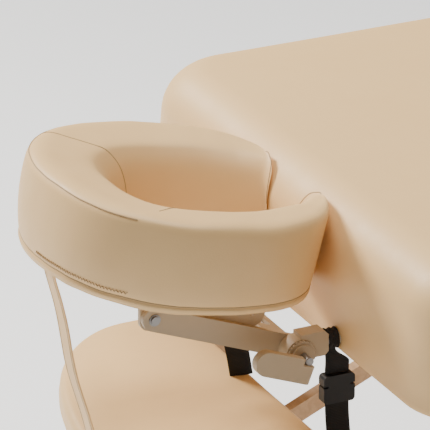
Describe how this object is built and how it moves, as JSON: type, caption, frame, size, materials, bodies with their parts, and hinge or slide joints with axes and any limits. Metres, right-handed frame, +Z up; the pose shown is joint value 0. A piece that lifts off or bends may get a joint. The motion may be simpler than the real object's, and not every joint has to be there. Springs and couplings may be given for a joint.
{
  "type": "portable massage table",
  "caption": "Folding padded massage table on splayed wooden legs, with a sliding face cradle, a horseshoe face cushion and a hanging padded arm shelf.",
  "frame": {"origin": "on the floor, under the middle of the bounding box", "axes": "+X from the face cradle to the foot end, +Y to the far long side, +Z up"},
  "size_m": [2.0998, 0.7, 0.7315],
  "materials": {
    "aluminium": "satin anodised aluminium tube",
    "beech": "clear-lacquered beech with a fine straight grain",
    "black_plastic": "black moulded nylon",
    "black_webbing": "black woven webbing",
    "cream_leather": "smooth soft synthetic leather with a fine grain and a satin sheen",
    "cream_plastic": "beige moulded nylon, slightly satin",
    "enamelled_metal": "beige powder coat, slightly satin",
    "plywood": "thin birch plywood, sanded",
    "rubber": "black moulded rubber",
    "steel": "plain zinc-plated steel"
  },
  "bodies": {
    "head_half": {"head_pad": "cream_leather", "head_side_wrap": "cream_leather", "head_deck": "plywood", "head_rail_near": "beech", "head_rail_far": "beech", "head_end_rail": "beech", "head_center_rail": "beech", "head_pole_guide": "beech", "head_hinge_leaves": "steel", "hinge_pins": "steel", "head_rail_bolts": "steel"},
    "foot_half": {"foot_pad": "cream_leather", "foot_side_wrap": "cream_leather", "foot_deck": "plywood", "foot_rail_near": "beech", "foot_rail_far": "beech", "foot_end_rail": "beech", "foot_center_rail": "beech", "foot_hinge_leaves": "steel", "foot_rail_bolts": "steel"},
    "head_legs": {"head_leg_far": "beech", "head_leg_near": "beech", "head_leg_crossbar": "beech", "head_leg_knobs": "black_plastic", "head_leg_studs": "steel"},
    "head_brace_upper": {"head_brace_uppers": "beech"},
    "head_brace_lower": {"head_brace_lowers": "beech"},
    "head_extension_far_body": {"head_extension_far": "beech", "head_rubber_foot_far": "rubber"},
    "head_extension_near_body": {"head_extension_near": "beech", "head_rubber_foot_near": "rubber"},
    "foot_legs": {"foot_leg_far": "beech", "foot_leg_near": "beech", "foot_leg_crossbar": "beech", "foot_leg_knobs": "black_plastic", "foot_leg_studs": "steel"},
    "foot_brace_upper": {"foot_brace_uppers": "beech"},
    "foot_brace_lower": {"foot_brace_lowers": "beech"},
    "foot_extension_far_body": {"foot_extension_far": "beech", "foot_rubber_foot_far": "rubber"},
    "foot_extension_near_body": {"foot_extension_near": "beech", "foot_rubber_foot_near": "rubber"},
    "cradle_frame": {"cradle_poles": "aluminium", "hub_brackets": "cream_plastic", "toothed_discs": "cream_plastic", "clamp_bolts": "steel", "arm_straps": "black_webbing", "strap_buckles": "black_plastic"},
    "lever_near": {"cam_lever_near": "cream_plastic"},
    "lever_far": {"cam_lever_far": "cream_plastic"},
    "link": {"link_bars": "enamelled_metal", "link_crossbar": "enamelled_metal"},
    "platform": {"cradle_platform": "cream_plastic", "platform_screws": "steel", "face_cushion": "cream_leather"},
    "arm_shelf": {"arm_shelf_pad": "cream_leather", "arm_shelf_board": "plywood"},
    "front_strap_body": {"front_strap": "cream_leather"}
  },
  "joints": [
    {"name": "table_fold", "type": "hinge", "parent": "head_half", "child": "foot_half", "pos_m": [0.13087, 0, 0.555], "axis": [0, 1, 0], "range_deg": [0, 180]},
    {"name": "head_leg_fold", "type": "hinge", "parent": "head_half", "child": "head_legs", "pos_m": [-0.69413, 0, 0.585], "axis": [0, -1, 0], "range_deg": [0, 95]},
    {"name": "foot_leg_fold", "type": "hinge", "parent": "foot_half", "child": "foot_legs", "pos_m": [0.95587, 0, 0.585], "axis": [0, 1, 0], "range_deg": [0, 95]},
    {"name": "head_brace_swing", "type": "hinge", "parent": "head_half", "child": "head_brace_upper", "pos_m": [0.00587, 0, 0.597], "axis": [0, 1, 0], "range_deg": [0, 23.59]},
    {"name": "head_brace_knee", "type": "hinge", "parent": "head_brace_upper", "child": "head_brace_lower", "pos_m": [-0.53451, 0, 0.361], "axis": [0, -1, 0], "range_deg": [0, 180]},
    {"name": "foot_brace_swing", "type": "hinge", "parent": "foot_half", "child": "foot_brace_upper", "pos_m": [0.25587, 0, 0.597], "axis": [0, -1, 0], "range_deg": [0, 23.59]},
    {"name": "foot_brace_knee", "type": "hinge", "parent": "foot_brace_upper", "child": "foot_brace_lower", "pos_m": [0.79625, 0, 0.361], "axis": [0, 1, 0], "range_deg": [0, 180]},
    {"name": "head_far_leg_length", "type": "slide", "parent": "head_legs", "child": "head_extension_far_body", "axis": [-0.0872, 0, -0.9962], "range_m": [-0.045, 0.08]},
    {"name": "head_near_leg_length", "type": "slide", "parent": "head_legs", "child": "head_extension_near_body", "axis": [-0.0872, 0, -0.9962], "range_m": [-0.045, 0.08]},
    {"name": "foot_far_leg_length", "type": "slide", "parent": "foot_legs", "child": "foot_extension_far_body", "axis": [0.0872, 0, -0.9962], "range_m": [-0.045, 0.08]},
    {"name": "foot_near_leg_length", "type": "slide", "parent": "foot_legs", "child": "foot_extension_near_body", "axis": [0.0872, 0, -0.9962], "range_m": [-0.045, 0.08]},
    {"name": "cradle_slide", "type": "slide", "parent": "head_half", "child": "cradle_frame", "axis": [-1, 0, 0], "range_m": [0, 0.15]},
    {"name": "near_lever_swing", "type": "hinge", "parent": "cradle_frame", "child": "lever_near", "pos_m": [-0.83313, -0.149, 0.562], "axis": [0.3627, 0, 0.9319], "range_deg": [0, 75]},
    {"name": "far_lever_swing", "type": "hinge", "parent": "cradle_frame", "child": "lever_far", "pos_m": [-0.83313, 0.149, 0.562], "axis": [-0.3627, 0, -0.9319], "range_deg": [0, 75]},
    {"name": "link_tilt", "type": "hinge", "parent": "cradle_frame", "child": "link", "pos_m": [-0.83313, 0, 0.562], "axis": [0, -1, 0], "range_deg": [0, 20]},
    {"name": "platform_tilt", "type": "hinge", "parent": "link", "child": "platform", "pos_m": [-0.98213, 0, 0.62], "axis": [0, 1, 0], "range_deg": [0, 4]},
    {"name": "shelf_pitch", "type": "hinge", "parent": "cradle_frame", "child": "arm_shelf", "pos_m": [-0.75963, 0, 0.4195], "axis": [0, -1, 0], "range_deg": [0, 20.5]},
    {"name": "front_strap_swing", "type": "hinge", "parent": "link", "child": "front_strap_body", "pos_m": [-1.04013, 0, 0.64364], "axis": [0, 1, 0], "range_deg": [0, 13]}
  ],
  "couplings": [
    {"joint": "head_leg_fold", "follows": "table_fold", "ratio": 0.52777},
    {"joint": "foot_leg_fold", "follows": "table_fold", "ratio": 0.52777},
    {"joint": "head_brace_swing", "follows": "table_fold", "ratio": 0.13106},
    {"joint": "head_brace_knee", "follows": "table_fold", "ratio": 1},
    {"joint": "foot_brace_swing", "follows": "table_fold", "ratio": 0.13106},
    {"joint": "foot_brace_knee", "follows": "table_fold", "ratio": 1},
    {"joint": "cradle_slide", "follows": "table_fold", "m_per_rad": 0.0477},
    {"joint": "shelf_pitch", "follows": "link_tilt", "ratio": 0.97},
    {"joint": "front_strap_swing", "follows": "link_tilt", "ratio": 0.615}
  ]
}
